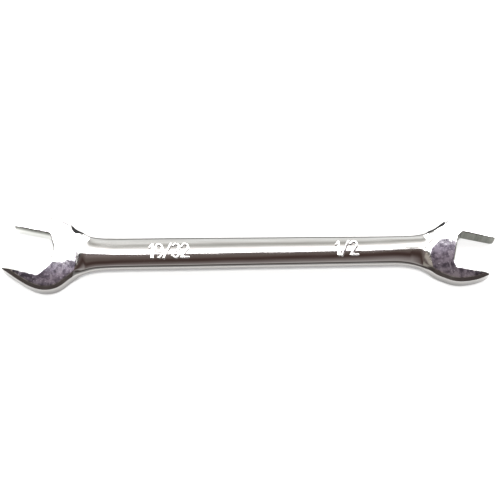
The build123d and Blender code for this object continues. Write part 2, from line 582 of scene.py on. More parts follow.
# %% [markdown]
# The skin could be a plain grid of squares, but chrome shows every step where an edge runs slantwise
# through one. So the grid follows the edges. It is one strip for the far half and one for the near half,
# and its lines run from the outline to the rim of the mouth. First come these lines' two ends round each
# mouth.

# %% Grid lines round the mouths
lip_radius = 0.2
lip_run_out = 0.6
jaw_lines, throat_lines = 60, 30
jaw_line_power = 1.35
line_behind_throat = 7.5


def lines_round_mouth(head, way):
    """Grid lines from a jaw's nose to the throat's middle: outline, its inward normal, edge, lip, rim.

    The same shares of the way are taken on the outline and on the mouth's edge, closer together at the nose.
    The rim is the edge moved into the metal by the lip, which grows from nothing at the nose.
    """
    sign = ways[way]
    edge, flat_length = mouth_edges[head.side, way]
    outline = outlines[way] if head.side < 0 else outlines[way][::-1]
    travelled = length_along(outline)
    root_length = travelled[np.argmax(head.local(outline)[0] < 0)]
    throat_x = head.root_distance - head.throat_depth - line_behind_throat
    throat_length = travelled[np.argmax(outline[:, 0] * head.side < throat_x)]
    whole = length_along(edge)[-1]
    share = np.linspace(0, 1, jaw_lines + 1) ** jaw_line_power
    behind_jaw = np.linspace(root_length, throat_length, throat_lines + 1)[1:]
    outer = np.concatenate([share * root_length, behind_jaw])
    inner = np.concatenate([share * flat_length, np.linspace(flat_length, whole, throat_lines + 1)[1:]])
    outer_place, outer_normal = sampled(outline, outer)
    edge_place, edge_normal = sampled(edge, inner)
    lip = lip_radius * np.minimum(1, inner / lip_run_out)
    into_metal = -head.side * sign * edge_normal
    return {
        "outer": outer_place,
        "inward": head.side * sign * outer_normal,
        "edge": edge_place,
        "into_metal": into_metal,
        "lip": lip,
        "rim": edge_place + lip[:, None] * into_metal,
    }


mouths = {(head.side, way): lines_round_mouth(head, way) for head in heads for way in ways}
print("grid lines round each half mouth:", {key: len(mouth["rim"]) for key, mouth in mouths.items()})

# %% [markdown]
# Between the mouths the lines run from the outline to a line down the middle of the shank. They stand close
# together where the ground face ends on the neck, because that is the sharpest edge they have to carry.

# %% Grid lines along the necks and the shank
shank_lines = 60
face_end_zone = {-1: (-61.4, -57.6), 1: (60.8, 65.4)}
behind_throat_gap, face_end_gap, neck_gap = 0.3, 0.07, 0.2


def neck_places(head, throat_x, shank_x):
    """Where grid lines cross the middle of a neck: closest where the ground face ends, wider elsewhere."""
    near, far = sorted(face_end_zone[head.side], key=abs)
    parts = [(throat_x, far, behind_throat_gap), (far, near, face_end_gap), (near, shank_x, neck_gap)]
    return np.concatenate([
        np.linspace(start, end, int(abs(end - start) / apart) + 1)[1:] for start, end, apart in parts
    ])


def lines_of_strip(way):
    """All grid lines of a strip, from the large head's nose to the small head's: outer, inward, inner."""
    large, small = mouths[-1, way], mouths[1, way]
    start, end = large["rim"][-1], small["rim"][-1]
    shank = [head.side * (head.root_distance - head.flare_reach) for head in heads]
    x = np.concatenate([
        neck_places(large_head, start[0], shank[0]),
        np.linspace(*shank, shank_lines + 1)[1:-1],
        neck_places(small_head, end[0], shank[1])[::-1],
    ])
    inner = start + (end - start) * ((x - start[0]) / (end[0] - start[0]))[:, None]
    outline = outlines[way]
    outer_x = np.interp(x, [start[0], *shank, end[0]], [large["outer"][-1, 0], *shank, small["outer"][-1, 0]])
    lengths = np.interp(outer_x, outline[:, 0], length_along(outline))
    outer, normal = sampled(outline, lengths)
    return [
        np.concatenate([large["outer"], outer, small["outer"][::-1]]),
        np.concatenate([large["inward"], -ways[way] * normal, small["inward"][::-1]]),
        np.concatenate([large["rim"], inner, small["rim"][::-1]]),
    ]


strips = {way: lines_of_strip(way) for way in ways}
for way, (outer, inward, inner) in strips.items():
    reach = np.hypot(*(inner - outer).T)
    lean = ((inner - outer) * inward).sum(axis=1)[1:-1] / reach[1:-1]
    print(way, len(outer), "lines, longest", round(reach.max(), 1), "mm, least square", round(lean.min(), 2))

# %% [markdown]
# Along each grid line the forging's profile is drawn densely, and the rows of the mesh are then picked from
# it. Two helpers do the picking for all the lines at once: one reads a profile at wanted distances, the
# other finds where it first reaches a height.


# %% Reading many profiles at once
def read_along(travelled, values, wanted):
    """Straight-line reading of one table per grid line: the entry before, plus its share of the next step."""
    before = (travelled[:, None, :] <= wanted[:, :, None]).sum(axis=-1) - 1
    before = np.clip(before, 0, travelled.shape[1] - 2)
    start = np.take_along_axis(travelled, before, axis=1)
    step = np.take_along_axis(travelled, before + 1, axis=1) - start
    share = np.clip((wanted - start) / np.maximum(step, 1e-12), 0, 1)
    low_value = np.take_along_axis(values, before, axis=1)
    return low_value + share * (np.take_along_axis(values, before + 1, axis=1) - low_value)


def first_crossing(travelled, values, level):
    """Where along each line the values first reach a level, or not a number where they never do."""
    past = values >= level
    found = past.argmax(axis=1)
    line = np.arange(len(values))
    before = np.maximum(found - 1, 0)
    share = (level - values[line, before]) / np.maximum(values[line, found] - values[line, before], 1e-9)
    step = travelled[line, found] - travelled[line, before]
    place = travelled[line, before] + np.clip(share, 0, 1) * step
    return np.where(past.any(axis=1), place, np.nan)


test_table = np.array([[0.0, 1.0, 2.0]])
print("a slope of 2 reaches 3 at", first_crossing(test_table, 2 * test_table, 3.0)[0])

# %% [markdown]
# One row of the mesh lies on the edge of the ground face, also where that edge turns across the neck, so the
# grinder's line stays clean. Past the places where a line meets that edge the row has to go somewhere, and
# it may not jump, because a jump would show as a kink in the chrome.

# %% The row on the ground face's edge
row_drift = 2.5
no_edge = 99.0
farthest_edge_share = 0.93
edge_softness = 6
short_profile = 1
short_edge_share = 0.5


def row_of_face_edge(outer, travelled, forged, wall, total):
    """How far along each profile the row on the ground face's edge lies, with no jump from line to line.

    It is where the forging first reaches the ground level. On lines where it never does, the row drifts
    away from the nearest line that does, by row_drift for each mm between them. A soft minimum,
    -log(exp(-6 a) + exp(-6 b)) / 6, keeps it short of the profile's end, and on very short profiles it lies
    half way along the slope at least.
    """
    edge = first_crossing(travelled, forged, half_thickness)
    place_along = length_along(outer)
    apart = np.abs(place_along[:, None] - place_along)
    edge = np.min(np.where(np.isnan(edge), no_edge, edge) + row_drift * apart, axis=1)[:, None]
    at_most = wall + farthest_edge_share * (total - wall)
    edge = -np.logaddexp(-edge_softness * edge, -edge_softness * at_most) / edge_softness
    is_short = total < wall + short_profile
    return np.maximum(edge, wall + short_edge_share * (total - wall) * is_short)


print("the row drifts by at most", row_drift, "mm for each mm between lines")

# %% [markdown]
# A profile goes up the wall, which leans in a little as a forged wall must to leave its die, then over the
# shoulder and across the face. Its rows crowd at the edges, where a reflection bends fastest.

# %% The upper skin
wall_draft = 0.12
most_draft_share = 0.1
wall_points = 24
profile_points = 160
profile_power = 1.9
wall_rows = np.array([0, 0.14, 0.30, 0.47, 0.64, 0.80, 0.93, 1.0])
outside_rows = np.array([0.025, 0.06, 0.12, 0.20, 0.30, 0.41, 0.52, 0.63, 0.74, 0.84, 0.92, 0.965, 1.0])
inside_steps = np.array([0.07, 0.18, 0.38, 0.7])
inside_share = 0.8
face_rows = np.linspace(0, 1, 18)[1:]


def upper_skin(outer, inner):
    """A grid of points: lines by rows. Plan from the line's two ends, height from the height function."""
    run = inner - outer
    length = np.hypot(*run.T)
    heading = run / np.maximum(length, 1e-9)[:, None]
    rim_height = ground_height(forged_height(outer))
    draft = np.minimum(wall_draft * rim_height / wall_half_height, most_draft_share * length)
    inwards = np.linspace(0, 1, profile_points) ** profile_power
    reach = draft[:, None] + (length - draft)[:, None] * inwards
    forged = forged_height(outer[:, None] + heading[:, None] * reach[..., None])
    up = np.linspace(0, 1, wall_points)[:-1]
    reach = np.concatenate([draft[:, None] * up**2, reach], axis=1)
    forged = np.concatenate([forged[:, :1] * up, forged], axis=1)
    height = np.maximum(ground_height(forged), 0)

    travelled = np.cumsum(np.hypot(np.diff(reach, axis=1), np.diff(height, axis=1)), axis=1)
    travelled = np.concatenate([np.zeros((len(length), 1)), travelled], axis=1)
    total = travelled[:, -1:]
    at_nose = length[:, None] < 1e-6
    wall = np.where(at_nose, total, np.minimum(wall_half_height, total))
    face_edge = np.where(at_nose, total, row_of_face_edge(outer, travelled, forged, wall, total))
    outside = wall + (face_edge - wall) * outside_rows
    room_inside = inside_share * (total - face_edge) / inside_steps[-1]
    inside = face_edge + inside_steps * np.minimum(1, room_inside)
    across_face = inside[:, -1:] + (total - inside[:, -1:]) * face_rows
    wanted = np.concatenate([wall * wall_rows, outside, inside, across_face], axis=1)
    reach, height = read_along(travelled, reach, wanted), read_along(travelled, height, wanted)
    plan = outer[:, None] + heading[:, None] * reach[..., None]
    return np.concatenate([plan, height[..., None]], axis=-1)


skins = {way: upper_skin(strips[way][0], strips[way][2]) for way in ways}
print({way: skin.shape for way, skin in skins.items()}, "highest", round(skins["far"][..., 2].max(), 3))

# %% [markdown]
# The mouth's walls come down from the rim. The lip is a quarter circle, and below it the wall is upright.
# At the jaw's nose the wall's rows stand at the same heights as the outer wall's, so the two close up.

# %% The mouths' walls
lip_turn = np.radians(np.linspace(90, 0, 6))


def mouth_wall(mouth):
    """Lines by rows from the rim down: the lip's quarter circle, then shares of height as outside."""
    top = ground_height(forged_height(mouth["rim"]))[:, None]
    lip = mouth["lip"][:, None]
    below_lip = np.zeros((len(top), len(wall_rows) - 1))
    offset = np.concatenate([lip * (1 - np.cos(lip_turn)), below_lip], axis=1)
    lip_height = top - lip * (1 - np.sin(lip_turn))
    height = np.concatenate([lip_height, lip_height[:, -1:] * wall_rows[:-1][::-1]], axis=1)
    plan = mouth["edge"][:, None] + mouth["into_metal"][:, None] * offset[..., None]
    return np.concatenate([plan, height[..., None]], axis=-1)


mouth_walls = {key: mouth_wall(mouth) for key, mouth in mouths.items()}
print("wall grids:", {key: wall.shape[:2] for key, wall in mouth_walls.items()})

# %% [markdown]
# Grids become a mesh in one go: all their points, then the four corners of every cell. Places that grids
# share are merged, the flat triangles at the jaws' noses go, and the normals are worked out anew, so the
# skin ends up closed and faces outwards.

# %% From grids to a closed mesh
merge_distance = 0.002
sliver_length = 0.001


def grid_faces(lines, rows, first):
    """The four corners of each cell of a grid whose points are numbered row by row within each line."""
    corner = first + np.arange(lines - 1)[:, None] * rows + np.arange(rows - 1)
    return np.stack([corner, corner + 1, corner + rows + 1, corner + rows], axis=-1).reshape(-1, 4)


def closed_mesh(name, grids):
    """One mesh from grids of points in mm above the middle plane. A grid's number is its faces' material."""
    points, faces, kinds = [], [], []
    for kind, grid in grids:
        faces.append(grid_faces(*grid.shape[:2], sum(map(len, points))))
        points.append(grid.reshape(-1, 3) + [0, 0, middle_height])
        kinds.append(np.full(len(faces[-1]), kind))
    mesh = bpy.data.meshes.new(name)
    mesh.from_pydata((np.concatenate(points) * mm).tolist(), [], np.concatenate(faces).tolist())
    mesh.polygons.foreach_set("material_index", np.concatenate(kinds))
    shape = bmesh.new()
    shape.from_mesh(mesh)
    bmesh.ops.remove_doubles(shape, verts=shape.verts, dist=merge_distance * mm)
    bmesh.ops.dissolve_degenerate(shape, edges=shape.edges, dist=sliver_length * mm)
    bmesh.ops.recalc_face_normals(shape, faces=shape.faces)
    open_edges = sum(not edge.is_manifold for edge in shape.edges)
    shape.to_mesh(mesh)
    print(name, len(mesh.polygons), "faces,", open_edges, "open edges, volume",
          round(shape.calc_volume() / mm**3), "cubic mm")
    shape.free()
    mesh.polygons.foreach_set("use_smooth", np.ones(len(mesh.polygons), bool))
    piece = bpy.data.objects.new(name, mesh)
    bpy.context.scene.collection.objects.link(piece)
    return piece


def both_sides(kind, grid):
    """A grid and its mirror image below the middle plane."""
    return [(kind, grid), (kind, grid * [1, 1, -1])]


# %% [markdown]
# The wrench is one forging, so its skin is one mesh: both strips and the four half walls of the mouths,
# each used above and below the middle plane.

# %% The forging
polished, ground, broached = 0, 1, 2
grids = [pair for skin in skins.values() for pair in both_sides(polished, skin)]
grids += [pair for wall in mouth_walls.values() for pair in both_sides(broached, wall)]
wrench = closed_mesh("wrench_forging", grids)

# %% [markdown]
# A wrench leaves the shop with three finishes, and each face of the mesh gets one of them by where it lies.
# What lies at the ground level is ground, the mouths are broached and the rest is buffed. The buffed metal
# also needs to know where it is steep, and an attribute carries that from the normals to its material.

# %% Which face has which finish
level_tolerance = 0.03
steep_from_normal = 0.86
steep_normal_range = 0.42

centres = np.empty(len(wrench.data.polygons) * 3)
wrench.data.polygons.foreach_get("center", centres)
face_finish = np.empty(len(wrench.data.polygons), np.int32)
wrench.data.polygons.foreach_get("material_index", face_finish)
at_ground_level = np.abs(centres[2::3] / mm - middle_height) > half_thickness - level_tolerance
face_finish[at_ground_level & (face_finish == polished)] = ground
wrench.data.polygons.foreach_set("material_index", face_finish)

# Steepness goes from 0 where the normal's height is 0.86 to 1 where it is 0.44
normals = np.empty(len(wrench.data.vertices) * 3)
wrench.data.vertices.foreach_get("normal", normals)
# Steepness says where the buffed plate's painted shade goes
steep = np.clip((steep_from_normal - np.abs(normals[2::3])) / steep_normal_range, 0, 1)
wrench.data.attributes.new("steepness", "FLOAT", "POINT").data.foreach_set("value", steep)
print("faces of each finish:", np.bincount(face_finish))

# %% [markdown]
# The size of each mouth stands up from the shank in plain numerals, cut into the die and so raised on the
# forging. Blender could make them from a font, but a die sinker's numerals have even, round strokes. So
# each is a few strokes here: lines and parts of ellipses in a box one unit high.

# %% Strokes of the numerals
arc_points = 24
numeral_gap = 0.13
numeral_height = 5.0
large_mark_centre = (-27.6, 0.1)
small_mark_centre = (33.2, 0.3)


def arc(centre, radii, start, end):
    """Part of an ellipse as points: centre plus radii times cosine and sine, angles in degrees."""
    turn = np.radians(np.linspace(start, end, arc_points))
    return np.array(centre) + np.stack([np.cos(turn), np.sin(turn)], axis=-1) * radii


numerals = {
    "1": (0.26, [[(0.0, 0.78), (0.17, 0.98), (0.17, 0.0)]]),
    "2": (0.46, [np.concatenate([arc((0.23, 0.74), (0.21, 0.26), 165, -35), [(0.02, 0.02), (0.46, 0.02)]])]),
    "3": (0.46, [
        np.concatenate([arc((0.21, 0.76), (0.20, 0.24), 155, -90), arc((0.21, 0.26), (0.23, 0.26), 90, -155)])
    ]),
    "9": (0.46, [
        arc((0.23, 0.70), (0.22, 0.28), 0, 360),
        np.concatenate([[(0.45, 0.70)], arc((0.20, 0.30), (0.25, 0.30), 20, -80)]),
    ]),
    "/": (0.46, [[(0.0, -0.02), (0.46, 1.02)]]),
}


def strokes_of(text, centre):
    """All strokes of a text as lines in mm, set side by side about a centre."""
    width = sum(numerals[letter][0] + numeral_gap for letter in text) - numeral_gap
    start, lines = -width / 2, []
    for letter in text:
        wide, strokes = numerals[letter]
        lines += [(np.array(stroke) + [start, -0.5]) * numeral_height + centre for stroke in strokes]
        start += wide + numeral_gap
    return lines


large_mark = strokes_of("19/32", large_mark_centre)
small_mark = strokes_of("1/2", small_mark_centre)
print("strokes:", len(large_mark), "and", len(small_mark))

# %% [markdown]
# A mark is a thin closed slab laid in the shank's crown. Its upper skin lies just under the metal, and
# rises out of it only along the strokes. Their tops are level, because the die's floor was level there, so
# they mirror one part of the room and stand out bright where the crown beside them has turned to the dark.

# %% The raised marks
stroke_half_width = 0.58
stroke_slope = 0.24
stroke_height = 0.16
sunk = 0.03
slab_thickness = 0.5
mark_margin = 0.6
mark_spacing = 0.11


def raised_mark(name, strokes):
    """A slab whose top is the shank's height less a little, and near a stroke rises to a level top.

    The rise is a half cosine of the distance from the stroke.
    """
    points = np.concatenate(strokes)
    first, last = points.min(axis=0) - mark_margin, points.max(axis=0) + mark_margin
    steps = [np.linspace(start, end, int((end - start) / mark_spacing)) for start, end in zip(first, last)]
    place = np.stack(np.meshgrid(*steps, indexing="ij"), axis=-1)
    away = np.min([distance_to(np.asarray(stroke), place) for stroke in strokes], axis=0)
    share = (1 - np.cos(np.pi * np.clip((stroke_half_width - away) / stroke_slope, 0, 1))) / 2
    metal = bar_height(place)
    crest = bar_height(np.stack([place[..., 0], 0 * place[..., 1]], axis=-1)) + stroke_height
    top = metal - sunk + (crest - metal + sunk) * share
    grid = np.concatenate([place, top[..., None]], axis=-1)
    under = np.concatenate([place, (metal - slab_thickness)[..., None]], axis=-1)
    rims = [np.concatenate([side[:, 0], side[-1], side[::-1, -1], side[0, ::-1]]) for side in (grid, under)]
    return closed_mesh(name, [(0, grid), (0, under), (0, np.stack(rims, axis=1))])


marks = [raised_mark("large_size_mark", large_mark), raised_mark("small_size_mark", small_mark)]

# %% [markdown]
# Materials and the room are both made of nodes, small boxes whose sockets are joined by links. They could
# be set up by hand in Blender's node editor. In a script a short helper is worth having: it adds a node,
# and sets or links its inputs by name.


# %% A helper for nodes
class Nodes:
    """The nodes of a material or of the room."""

    def __init__(self, tree):
        self.tree = tree

    def add(self, kind, settings=None, **inputs):
        """A node with its settings, and its inputs by name: a socket is linked, anything else is a value."""
        node = self.tree.nodes.new(kind)
        for key, value in (settings or {}).items():
            setattr(node, key, value)
        for key, value in inputs.items():
            self.put(node.inputs[key.replace("_", " ")], value)
        return node

    def put(self, socket, value):
        """A socket is linked to an input, and a number or colour is set on it."""
        if isinstance(value, bpy.types.NodeSocket):
            self.tree.links.new(value, socket)
        else:
            socket.default_value = value

    def reckon(self, operation, *values):
        """The result of one Math node on sockets and numbers."""
        node = self.add("ShaderNodeMath", {"operation": operation})
        for socket, value in zip(node.inputs, values):
            self.put(socket, value)
        return node.outputs["Value"]

    def between(self, value, low_in, high_in, low_out=0.0, high_out=1.0):
        """The value carried from one range to another and held at its ends."""
        node = self.add("ShaderNodeMapRange", Value=value)
        ends = {"From Min": low_in, "From Max": high_in, "To Min": low_out, "To Max": high_out}
        for key, number in ends.items():
            node.inputs[key].default_value = number
        return node.outputs["Result"]

    def mix(self, share, first, second):
        """Two colours mixed by a share: first * (1 - share) + second * share.

        A Mix node has its two colours at inputs 6 and 7 and gives the mixed one at output 2.
        """
        node = self.add("ShaderNodeMix", {"data_type": "RGBA"})
        self.put(node.inputs["Factor"], share)
        for socket, colour in ((node.inputs[6], first), (node.inputs[7], second)):
            self.put(socket, (*colour, 1) if isinstance(colour, tuple) else colour)
        return node.outputs[2]


print("what the helper does:", [name for name in vars(Nodes) if not name.startswith("_")])

# %% [markdown]
# Nickel and chrome plate is a mirror, so its colour is nearly white and its roughness is low. What the eye
# takes for its texture is how that mirror was made: buffed along the shank, ground across the heads, and
# left as the broach cut it inside the mouths. Noise and bump on the object's own coordinates make all
# three.


# %% A helper for finishes
class Finish(Nodes):
    """A material that is built up node by node."""

    def __init__(self, name):
        self.material = bpy.data.materials.new(name)
        self.material.use_nodes = True
        super().__init__(self.material.node_tree)
        self.shader = self.tree.nodes["Principled BSDF"]
        self.place = self.add("ShaderNodeTexCoord").outputs["Object"]

    def noise(self, scale, stretch=(1, 1, 1), turn=0.0, detail=3.0, roughness=0.55):
        """Cloudy noise on the object's own coordinates: scale per metre, longer where stretch is small."""
        mapping = self.add("ShaderNodeMapping", Vector=self.place, Rotation=(0, 0, turn), Scale=stretch)
        return self.add("ShaderNodeTexNoise", Vector=mapping.outputs["Vector"], Scale=scale, Detail=detail,
                        Roughness=roughness).outputs["Fac"]

    def bump(self, height, depth_in_mm, under=None):
        """A bump whose full range of height stands for a depth in mm."""
        node = self.add("ShaderNodeBump", Height=height, Strength=1.0, Distance=depth_in_mm * mm)
        if under is not None:
            self.put(node.inputs["Normal"], under)
        return node.outputs["Normal"]

    def set_shader(self, **inputs):
        """The shader's inputs by name. Gives back the material."""
        for key, value in inputs.items():
            self.put(self.shader.inputs[key.replace("_", " ")], value)
        return self.material


print("a finish can also do:", [name for name in vars(Finish) if not name.startswith("_")])

# %% [markdown]
# The shank is buffed by hand along its length. The buff follows the metal's long slow waves, which make the
# reflected bands wander a little, and it leaves faint streaks the same way. The walls would reflect what lies
# low round the table, which the room below doesn't have, so their colour is painted reflection and shade:
# nearly black at the foot and grey towards the rim.

# %% Buffed plate
streak_colours = (0.74, 0.73, 0.72), (0.86, 0.86, 0.86)
painted_wall_shade_colours = (0.10, 0.098, 0.095), (0.44, 0.43, 0.42)
wall_foot, wall_rim = 0.6, 4.4
wave_scale, wave_depth = 60, 0.04
streak_scale, streak_depth = 900, 0.0006
dull_scale, least_dull, most_dull = 250, 0.05, 0.12


def buffed_plate():
    """Waves and streaks as two bumps, the streaks' colours, and where it is steep a painted shade by height.
    """
    finish = Finish("buffed_plate")
    waves = finish.noise(wave_scale, stretch=(1, 3, 3), detail=1.0)
    streaks = finish.noise(streak_scale, stretch=(0.06, 1, 1), detail=4.0)
    normal = finish.bump(waves, wave_depth)
    normal = finish.bump(streaks, streak_depth, under=normal)
    colour = finish.mix(finish.between(streaks, 0.35, 0.65), *streak_colours)
    steep = finish.add("ShaderNodeAttribute", {"attribute_name": "steepness"}).outputs["Fac"]
    height = finish.add("ShaderNodeSeparateXYZ", Vector=finish.place).outputs["Z"]
    # Painted shade: steep metal darkens towards its foot, in place of the wall mirroring its own shadow on
    # the paper
    wall = finish.mix(finish.between(height, wall_foot * mm, wall_rim * mm), *painted_wall_shade_colours)
    dullness = finish.noise(dull_scale, stretch=(0.3, 1, 1))
    rough = finish.between(dullness, 0.3, 0.7, least_dull, most_dull)
    colour = finish.mix(steep, colour, wall)
    return finish.set_shader(Base_Color=colour, Metallic=1.0, Roughness=rough, Normal=normal)


wrench.data.materials.append(buffed_plate())
print("finishes:", [material.name for material in wrench.data.materials])

# %% [markdown]
# The heads' flat faces were ground on a coarse belt and plated as they were. Each small dent mirrors
# another part of the room. The near parts of the faces mirror a place just past the edge of the bright
# panel, so a dent of two thousandths of a millimetre is enough to mottle them, while the far parts stay
# plain white.

# %% Ground plate
patch_colours = (0.28, 0.265, 0.295), (0.95, 0.94, 0.97)
patch_scale = 520
scratch_colour = (1.0, 1.0, 1.0)
scratch_scale, scratch_turn = 620, np.radians(35)
dent_scale, dent_depth = 620, 0.0022


def ground_plate():
    """Patches of darker and lighter plate, pale scratches on a slant, and dents as a bump."""
    finish = Finish("ground_plate")
    scratches = finish.noise(scratch_scale, stretch=(1, 0.4, 1), turn=scratch_turn, detail=3.0)
    patches = finish.noise(patch_scale, detail=4.0, roughness=0.6)
    colour = finish.mix(finish.between(patches, 0.38, 0.60), *patch_colours)
    colour = finish.mix(finish.between(scratches, 0.56, 0.63), colour, scratch_colour)
    normal = finish.bump(finish.noise(dent_scale, detail=2.0), dent_depth)
    return finish.set_shader(Base_Color=colour, Metallic=1.0, Roughness=0.025, Normal=normal)


wrench.data.materials.append(ground_plate())
print("finishes:", [material.name for material in wrench.data.materials])

# %% [markdown]
# A broach is drawn straight through the mouth and leaves fine lines from face to face, so the noise is long
# along Z. The metal there is duller and greener than the buffed plate. In the large mouth the lower part of
# the wall is painted lighter, a painted reflection of the white paper.

# %% Broached plate
line_colours = (0.13, 0.135, 0.115), (0.24, 0.245, 0.22)
painted_reflection_colour = (0.86, 0.87, 0.84)
painted_reflection_starts, painted_reflection_full = 4.6, 2.6
painted_reflection_end_x = -20
line_scale, line_depth = 1500, 0.01


def broached_plate():
    """Upright lines in two greys. The painted reflection is how far down times how far towards the large
    head.
    """
    finish = Finish("broached_plate")
    lines = finish.noise(line_scale, stretch=(1, 1, 0.05), detail=4.0)
    colour = finish.mix(finish.between(lines, 0.3, 0.7), *line_colours)
    place = finish.add("ShaderNodeSeparateXYZ", Vector=finish.place).outputs
    # Painted reflection: in the large mouth the wall is painted lighter further down, in place of the paper
    # it mirrors
    further_down = finish.between(place["Z"], painted_reflection_starts * mm, painted_reflection_full * mm)
    at_large_head = finish.between(place["X"], 0.0, painted_reflection_end_x * mm)
    painted_reflection = finish.reckon("MULTIPLY", further_down, at_large_head)
    colour = finish.mix(painted_reflection, colour, painted_reflection_colour)
    normal = finish.bump(lines, line_depth)
    return finish.set_shader(Base_Color=colour, Metallic=1.0, Roughness=0.38, Normal=normal)


wrench.data.materials.append(broached_plate())
print("finishes:", [material.name for material in wrench.data.materials])

# %% [markdown]
# The marks were buffed together with the shank and take its finish. Then every piece rides on the one body
# and stands for the plain solid, which is hidden.

# %% Marks' finish, and where the pieces belong
for mark in marks:
    mark.data.materials.append(bpy.data.materials["buffed_plate"])
for piece in [wrench, *marks]:
    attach(piece, "root")
    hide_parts("wrench")
print("pieces:", [piece.name for piece in [wrench, *marks]])

# %% [markdown]
# The studio is a white sheet under the wrench, a bright panel high up behind it, and dark room in front and
# overhead. Real panels could be modelled, but a mirror as small as this one shows directions only. So the
# room is written by the angle over the wrench, from the far horizon at 0 degrees up over the top to the
# near horizon at 180. First the far part: dark low down, grey bands, then the panel up to its sharp edge.

# %% The room behind, up to the panel's edge
panel_edge = 66.96
behind = [
    (0.0, (0.10, 0.10, 0.10)),
    (3.0, (0.06, 0.06, 0.06)),
    (14.0, (0.07, 0.07, 0.07)),
    (22.0, (0.30, 0.30, 0.29)),
    (30.0, (0.60, 0.60, 0.58)),
    (35.0, (0.88, 0.88, 0.86)),
    (38.5, (0.90, 0.90, 0.87)),
    (41.5, (0.74, 0.73, 0.70)),
    (44.5, (0.46, 0.45, 0.42)),
    (47.5, (0.46, 0.45, 0.42)),
    (50.5, (0.70, 0.68, 0.65)),
    (54.0, (1.25, 1.22, 1.20)),
    (57.0, (1.70, 1.66, 1.64)),
    (60.0, (2.90, 2.84, 2.80)),
    (63.0, (5.20, 5.15, 5.05)),
    (panel_edge, (5.60, 5.55, 5.45)),
]
print("bands behind:", len(behind))

# %% [markdown]
# Past the panel's edge comes the dark that the near parts of the faces mirror, and then the warm brown of
# the room over and in front of the wrench, which fills the near flank of the shank.

# %% The room overhead and in front
overhead_edge = 70.0
beside = [
    (panel_edge, (0.44, 0.41, 0.47)),
    (67.4, (0.38, 0.33, 0.40)),
    (67.8, (0.25, 0.205, 0.24)),
    (68.4, (0.18, 0.15, 0.17)),
    (overhead_edge, (0.20, 0.16, 0.15)),
]
before = [
    (overhead_edge, (0.20, 0.16, 0.15)),
    (73.0, (0.15, 0.12, 0.11)),
    (79.0, (0.125, 0.095, 0.085)),
    (83.0, (0.075, 0.048, 0.042)),
    (85.5, (0.058, 0.034, 0.029)),
    (89.0, (0.065, 0.042, 0.036)),
    (93.0, (0.13, 0.10, 0.095)),
    (98.0, (0.22, 0.19, 0.18)),
    (104.0, (0.36, 0.33, 0.32)),
    (112.0, (0.42, 0.40, 0.39)),
    (120.0, (0.24, 0.22, 0.21)),
    (127.0, (0.09, 0.075, 0.07)),
    (145.5, (0.065, 0.052, 0.05)),
    (151.0, (0.20, 0.195, 0.19)),
    (162.0, (0.34, 0.33, 0.32)),
    (180.0, (0.50, 0.49, 0.48)),
]
print("bands overhead and in front:", len(beside) + len(before))

# %% [markdown]
# To the left of the table stands something beige with a dark stripe across it, like a window. In the
# photo's view the small head's neck leans that way, and shows it as a beige patch.

# %% The window at the left
window = [
    (67.0, (0.10, 0.08, 0.07)),
    (68.0, (0.07, 0.05, 0.045)),
    (70.5, (0.09, 0.07, 0.06)),
    (72.5, (0.44, 0.39, 0.34)),
    (81.0, (0.40, 0.36, 0.32)),
    (84.0, (0.11, 0.085, 0.08)),
    (89.5, (0.11, 0.085, 0.08)),
    (92.5, (0.34, 0.31, 0.27)),
    (109.0, (0.30, 0.28, 0.25)),
    (124.0, (0.09, 0.075, 0.07)),
    (158.0, (0.06, 0.05, 0.048)),
    (180.0, (0.40, 0.39, 0.38)),
]
print("bands of the window:", len(window))

# %% [markdown]
# The world's nodes turn a direction into that angle. The panel's edge isn't quite level in the room, so the
# angle is slanted a little by how far to the side a direction points, and moved outright near both ends.
# Each range below reads: from this value to that one, the result goes from the third number to the fourth,
# or from 0 to 1. `aside` is how far to either side a direction points, with the left side stretched.

# %% Directions in the room
slant_reach = 0.17
panel_slant, dark_slant = 2.4, 45.0
moved_at_right = (0.18, 0.24, 0, -0.8)
moved_at_left = (-0.20, -0.30, 0, 3.5)
moved_above = (50, 60)
left_stretch = -1.6

world = bpy.data.worlds.new("studio")
bpy.context.scene.world = world
world.use_nodes = True
room = Nodes(world.node_tree)

direction = room.add("ShaderNodeTexCoord").outputs["Generated"]
x, y, z = room.add("ShaderNodeSeparateXYZ", Vector=direction).outputs
angle = room.reckon("DEGREES", room.reckon("ARCTAN2", z, y))
sideways = room.between(x, -slant_reach, slant_reach, -slant_reach, slant_reach)
angle = room.reckon("MULTIPLY_ADD", sideways, panel_slant, angle)
angle = room.reckon("ADD", angle, room.between(x, *moved_at_right))
aside = room.reckon("MAXIMUM", room.reckon("MULTIPLY", x, left_stretch), x)
stepped = room.reckon("MULTIPLY", room.between(x, *moved_at_left), room.between(angle, *moved_above))
angle = room.reckon("ADD", angle, stepped)
slanted = room.reckon("MULTIPLY_ADD", sideways, dark_slant, angle)
print("nodes for the directions:", len(room.tree.nodes))

# %% [markdown]
# A colour ramp paints each list of bands over its own stretch of the angle, and the ramps are laid over
# each other like sheets: the dark over the panel, then the window. Towards both sides the panel's light
# reaches lower, and the narrow band just past its edge turns nearly black, which darkens the tips of the
# near jaws.


# %% Light by direction
def colours_by_angle(angle, stops):
    """A ramp stretched over its own stops, because a ramp's table has only 256 steps."""
    first, last = stops[0][0], stops[-1][0]
    ramp = room.add("ShaderNodeValToRGB", Fac=room.between(angle, first, last))
    while len(ramp.color_ramp.elements) < len(stops):
        ramp.color_ramp.elements.new(0.5)
    for stop, (degrees, colour) in zip(ramp.color_ramp.elements, stops):
        stop.position = (degrees - first) / (last - first)
        stop.color = (*colour, 1)
    return ramp.outputs["Color"]


edge_softening, overhead_softening = 0.04, 0.1
wider_aside, wider_above = (0.20, 0.28), (29, 36)
wider_colour = (5.2, 5.15, 5.05)
window_reach = (-0.22, -0.27)
left_end_reach, right_end_reach = (-0.168, -0.198, 0, 0.7), (0.192, 0.206, 0, 0.8)
end_colour = (0.03, 0.028, 0.028)

